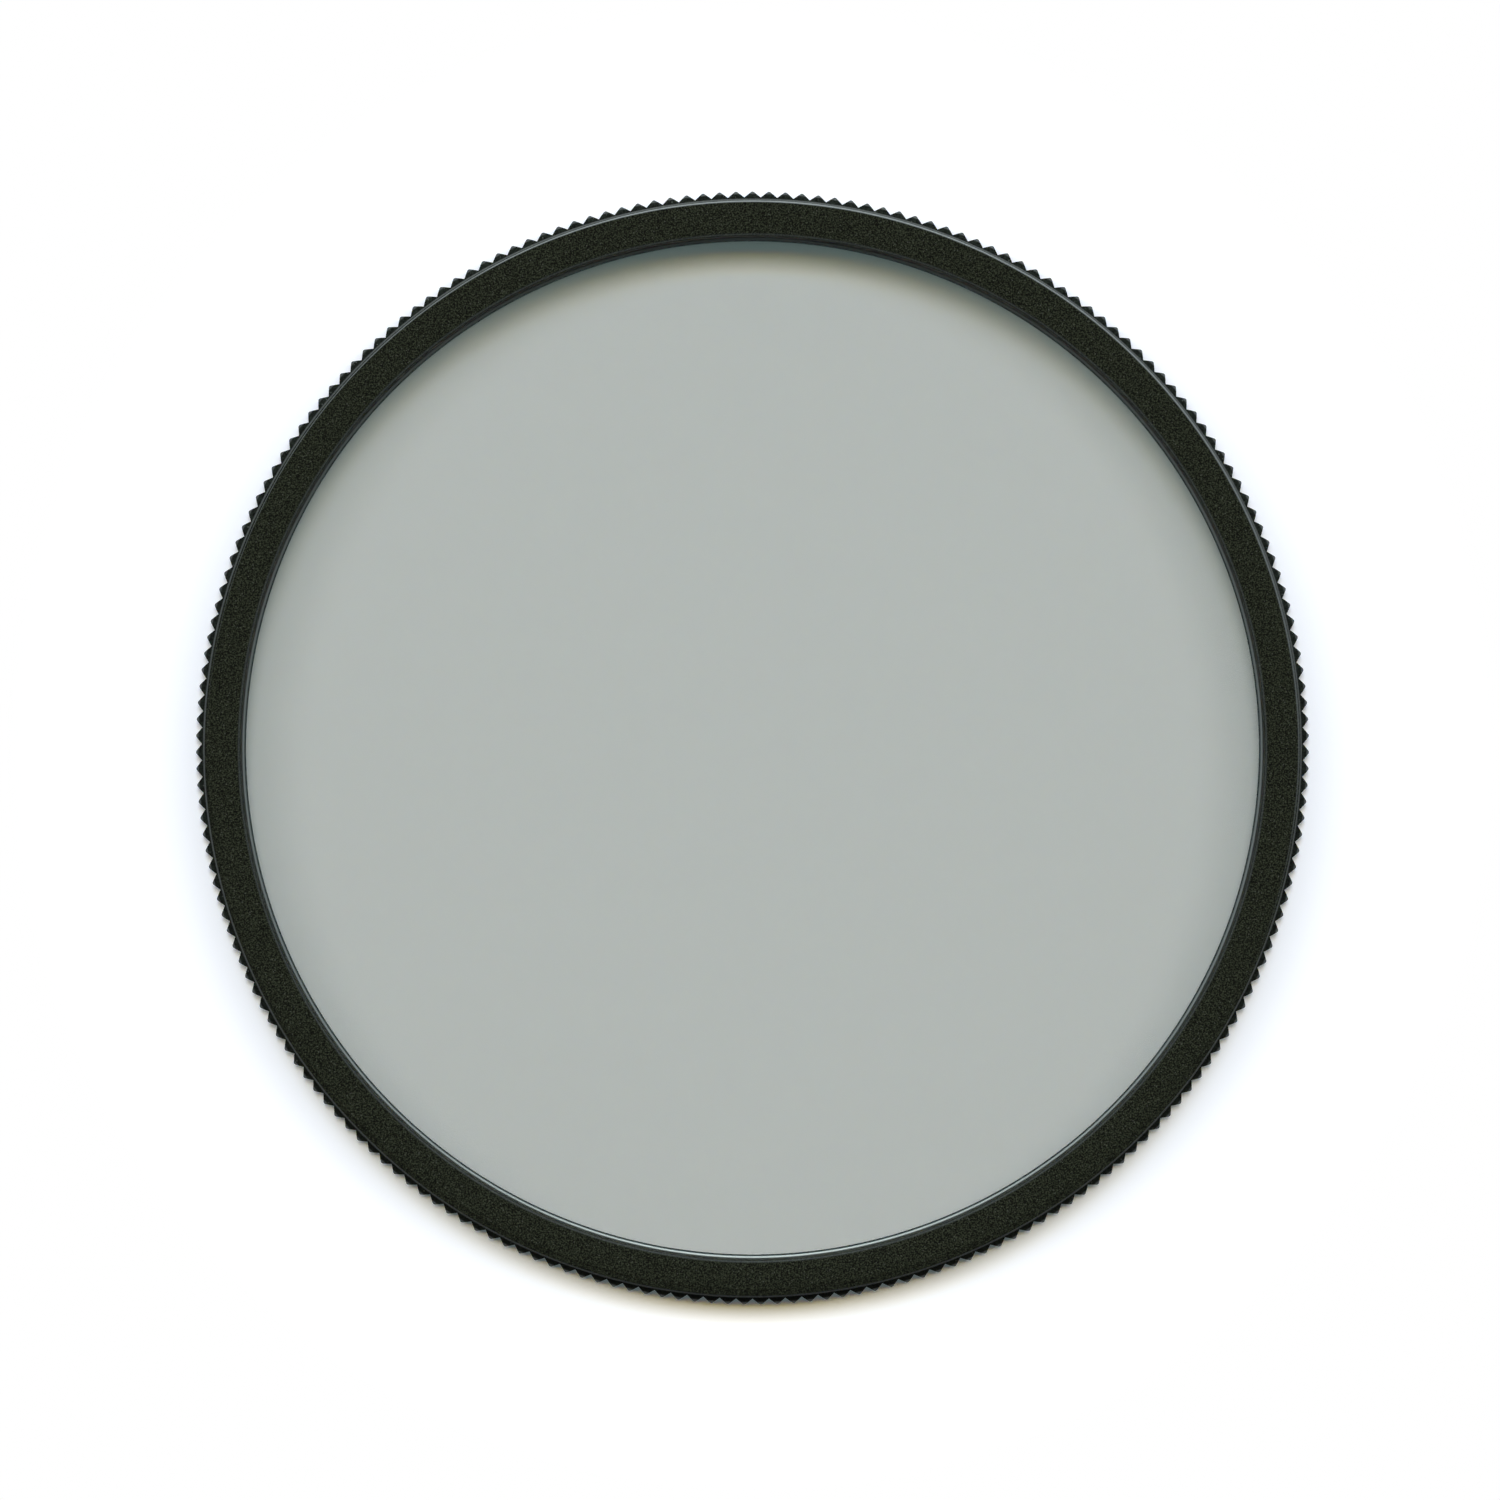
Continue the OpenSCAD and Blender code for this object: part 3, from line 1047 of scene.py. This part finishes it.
def keyPower(width, height, offset):
    # power at which a long level strip lights the white floor near the part to about 1
    reach = math.hypot(height, offset)
    half = width / 2
    seen = half / (2 * reach**2 * (half**2 + reach**2))
    seen += math.atan(half / reach) / (2 * reach**3)
    return math.pi**2 * width / (2 * seen * height**2)


def makeKey(s, name, width, share, height):
    # a level strip beyond the far edge; red, green and blue fill slightly different parts
    # of it, which leaves a warm edge on the shadows
    near, middle, far = s["keyPlace"]
    depth = s["keyDepth"] + far - near
    place = (near + far) / 2
    data = bpy.data.lights.new(name, "AREA")
    data.shape = "RECTANGLE"
    data.size, data.size_y = width, depth
    data.energy = share * keyPower(width, height, place) * depth / s["keyDepth"]
    data.use_nodes = True
    tree = data.node_tree
    tree.nodes.clear()
    output = tree.nodes.new("ShaderNodeOutputLight")
    shine = tree.nodes.new("ShaderNodeEmission")
    spot = tree.nodes.new("ShaderNodeNewGeometry")
    parts = tree.nodes.new("ShaderNodeSeparateXYZ")
    link(tree, spot.outputs["Position"], parts.inputs[0])
    color = tree.nodes.new("ShaderNodeCombineColor")
    for i, centre in enumerate((near, middle, far)):
        band = addNode(
            tree, "ShaderNodeMath", {1: centre, 2: s["keyDepth"] / 2}, operation="COMPARE"
        )
        link(tree, parts.outputs[1], band.inputs[0])
        level = addNode(tree, "ShaderNodeMath", {1: s["keyLevel"][i]}, operation="MULTIPLY")
        link(tree, band.outputs[0], level.inputs[0])
        link(tree, level.outputs[0], color.inputs[i])
    link(tree, color.outputs[0], shine.inputs["Color"])
    link(tree, shine.outputs[0], output.inputs["Surface"])
    lamp = bpy.data.objects.new(name, data)
    lamp.location = (0, place, height)
    lamp.visible_camera = lamp.visible_glossy = False
    scene.collection.objects.link(lamp)


def makeLamps(s):
    # the two strips hang a little apart, so that neither hides the other
    for i, (name, width, share) in enumerate(s["keyShares"]):
        makeKey(s, name, width, share, s["keyHeight"] - s["keyStagger"] * i)


def makeWorld(s):
    # white to the camera; polished surfaces see a studio that is brightest on the far side
    world = bpy.data.worlds.new("studio")
    world.use_nodes = True
    world.cycles.sampling_method = "NONE"
    scene.world = world
    tree = world.node_tree
    tree.nodes.clear()
    output = tree.nodes.new("ShaderNodeOutputWorld")
    ambient = addNode(tree, "ShaderNodeBackground", {"Color": (*s["ambient"], 1)})
    direction = tree.nodes.new("ShaderNodeTexCoord")
    parts = tree.nodes.new("ShaderNodeSeparateXYZ")
    link(tree, direction.outputs["Generated"], parts.inputs[0])
    across = addNode(tree, "ShaderNodeMapRange", {"From Min": -1.0})
    link(tree, parts.outputs[1], across.inputs["Value"])
    curve = tree.nodes.new("ShaderNodeFloatCurve")
    points = curve.mapping.curves[0].points
    brightest = max(level for place, level in s["studio"])
    points[0].location = (0, s["studio"][0][1] / brightest)
    points[1].location = (1, s["studio"][-1][1] / brightest)
    for place, level in s["studio"][1:-1]:
        points.new(place, level / brightest)
    curve.mapping.update()
    link(tree, across.outputs[0], curve.inputs["Value"])
    level = addNode(tree, "ShaderNodeMath", {1: brightest}, operation="MULTIPLY")
    link(tree, curve.outputs[0], level.inputs[0])
    rays = tree.nodes.new("ShaderNodeLightPath")
    shown = addNode(tree, "ShaderNodeMix", {3: 1.0}, data_type="FLOAT")
    link(tree, rays.outputs["Is Camera Ray"], shown.inputs[0])
    link(tree, level.outputs[0], shown.inputs[2])
    surround = addNode(tree, "ShaderNodeBackground", {"Color": (1, 1, 1, 1)})
    link(tree, shown.outputs[0], surround.inputs["Strength"])
    seen = addNode(tree, "ShaderNodeMath", operation="MAXIMUM")
    link(tree, rays.outputs["Is Camera Ray"], seen.inputs[0])
    link(tree, rays.outputs["Is Glossy Ray"], seen.inputs[1])
    either = addNode(tree, "ShaderNodeMath", operation="MAXIMUM")
    link(tree, seen.outputs[0], either.inputs[0])
    link(tree, rays.outputs["Is Transmission Ray"], either.inputs[1])
    mixed = tree.nodes.new("ShaderNodeMixShader")
    link(tree, either.outputs[0], mixed.inputs[0])
    link(tree, ambient.outputs[0], mixed.inputs[1])
    link(tree, surround.outputs[0], mixed.inputs[2])
    link(tree, mixed.outputs[0], output.inputs["Surface"])


def makeCamera(s):
    data = bpy.data.cameras.new("camera")
    data.lens = s["lens"]
    data.sensor_width = s["sensor"]
    data.clip_start, data.clip_end = s["clip"]
    camera = bpy.data.objects.new("camera", data)
    camera.location = (*s["cameraPlace"], mountRing["topZ"] * mm + s["cameraAbove"])
    scene.collection.objects.link(camera)
    scene.camera = camera


makeFloor(stageSet)
makeLamps(stageSet)
makeWorld(stageSet)
makeCamera(stageSet)
scene.view_settings.view_transform = "Standard"
scene.cycles.transparent_max_bounces = 32  # the glass pack has eight surfaces, met twice
scene.cycles.diffuse_bounces = 1
scene.cycles.glossy_bounces = 2
print("stage set")
